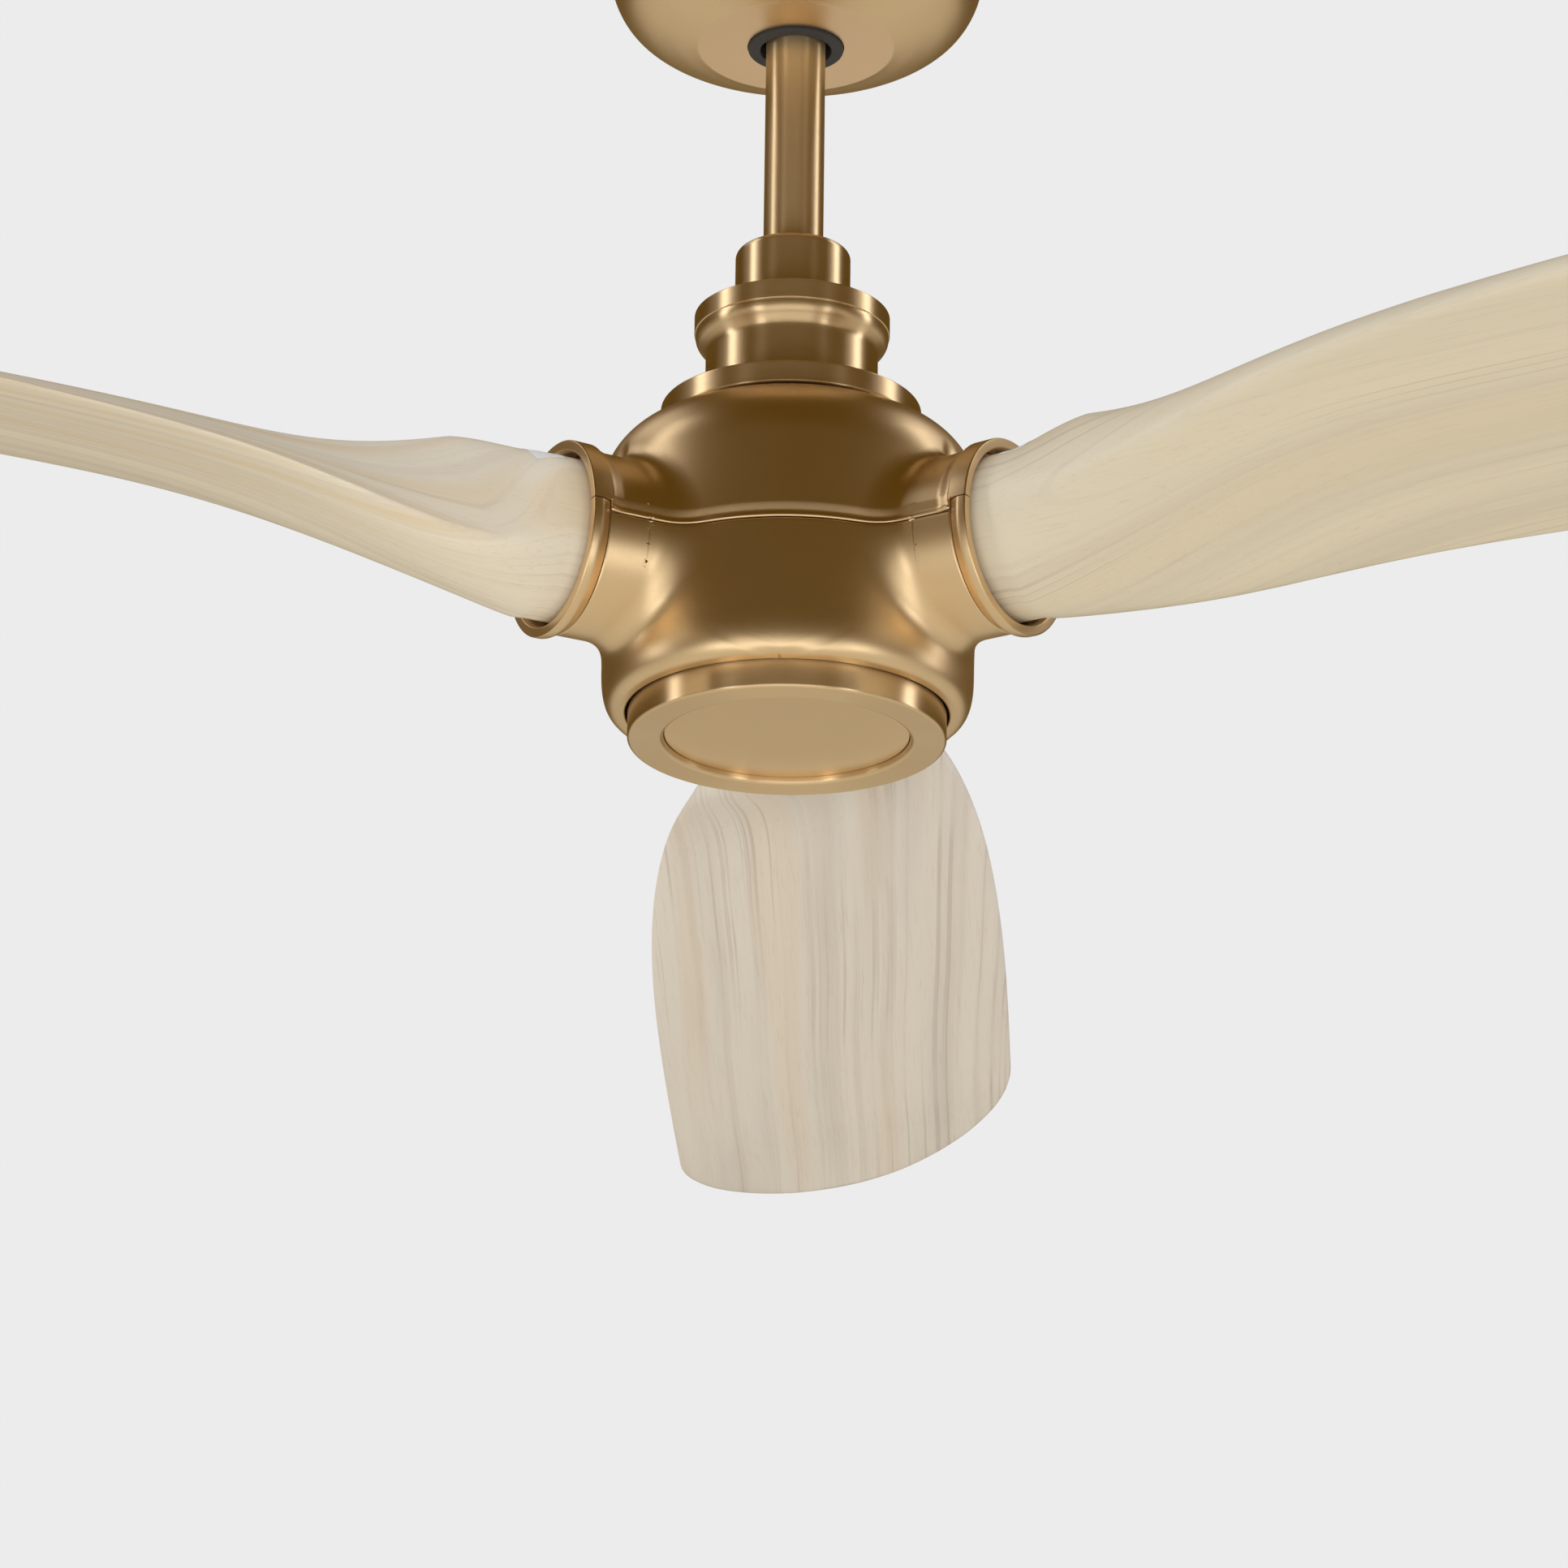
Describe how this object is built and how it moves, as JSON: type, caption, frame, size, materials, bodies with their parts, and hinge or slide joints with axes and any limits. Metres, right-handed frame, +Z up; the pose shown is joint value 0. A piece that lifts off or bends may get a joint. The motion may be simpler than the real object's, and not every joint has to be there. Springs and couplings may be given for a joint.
{
  "type": "ceiling fan",
  "caption": "Ceiling fan with a split brass hub holding carved wooden propeller-style blades, hung from a domed canopy by a short downrod.",
  "frame": {"origin": "centre of the hanger bracket's flat ceiling face", "axes": "+Z up along the fan's axis, so the fan hangs towards -Z; +Y runs out along blade_1"},
  "size_m": [1.3359, 1.1801, 0.3196],
  "materials": {
    "satin_brass": "satin, fine turned brushing",
    "steel": "zinc plated",
    "laminated_iron": "laminated, matte",
    "cast_aluminium": "as cast",
    "copper_winding": "enamelled copper wire",
    "pale_wood": "pale wash under satin lacquer",
    "black_rubber": "matte",
    "white_plastic": "matte",
    "paper_label": "matte paper"
  },
  "bodies": {
    "ceiling": {"hanger_bracket": "steel", "canopy": "satin_brass", "canopy_screw_1": "satin_brass", "canopy_screw_2": "satin_brass", "canopy_bushing": "black_rubber", "remote_receiver": "white_plastic"},
    "hanger_ball": {"hanger_ball": "cast_aluminium", "hanger_pin": "steel", "ball_set_screw": "steel"},
    "hanging": {"downrod": "satin_brass", "lead_cable": "black_rubber", "motor_coupling": "steel", "coupling_pin": "steel", "hitch_clip": "steel", "coupling_set_screw_1": "steel", "coupling_set_screw_2": "steel", "top_plate": "satin_brass", "motor_shaft": "steel", "stator_core": "laminated_iron", "stator_windings": "copper_winding", "bearing_upper_inner_race": "steel", "bearing_lower_inner_race": "steel", "switch_housing": "satin_brass", "bottom_cap": "satin_brass", "shaft_nut": "steel"},
    "cover": {"coupling_cover": "satin_brass", "cover_collar": "satin_brass"},
    "rotor": {"rotor_can": "cast_aluminium", "rotor_cover": "cast_aluminium", "magnet_ring": "laminated_iron", "hub_upper_shell": "satin_brass", "hub_lower_shell": "satin_brass", "blade_clamp_1": "satin_brass", "blade_clamp_2": "satin_brass", "blade_clamp_3": "satin_brass", "blade_1": "pale_wood", "blade_2": "pale_wood", "blade_3": "pale_wood", "balance_label_1": "paper_label", "balance_label_2": "paper_label", "balance_label_3": "paper_label", "blade_screw_1": "steel", "blade_screw_2": "steel", "blade_screw_3": "steel", "shell_screw_1": "steel", "shell_screw_2": "steel", "shell_screw_3": "steel", "bearing_upper_outer_race": "steel", "bearing_upper_cage": "steel", "bearing_lower_outer_race": "steel", "bearing_lower_cage": "steel"}
  },
  "joints": [
    {"name": "ball_tilt", "type": "hinge", "parent": "ceiling", "child": "hanger_ball", "pos_m": [0, 0, -0.032], "axis": [0, 1, 0], "range_deg": [-3, 3]},
    {"name": "rod_tilt", "type": "hinge", "parent": "hanger_ball", "child": "hanging", "pos_m": [0, 0, -0.032], "axis": [1, 0, 0], "range_deg": [-3, 3]},
    {"name": "cover_slide", "type": "slide", "parent": "hanging", "child": "cover", "axis": [0, 0, 1], "range_m": [0, 0.075]},
    {"name": "fan_spin", "type": "hinge", "parent": "hanging", "child": "rotor", "pos_m": [0, 0, -0.262], "axis": [0, 0, 1], "continuous": true}
  ]
}
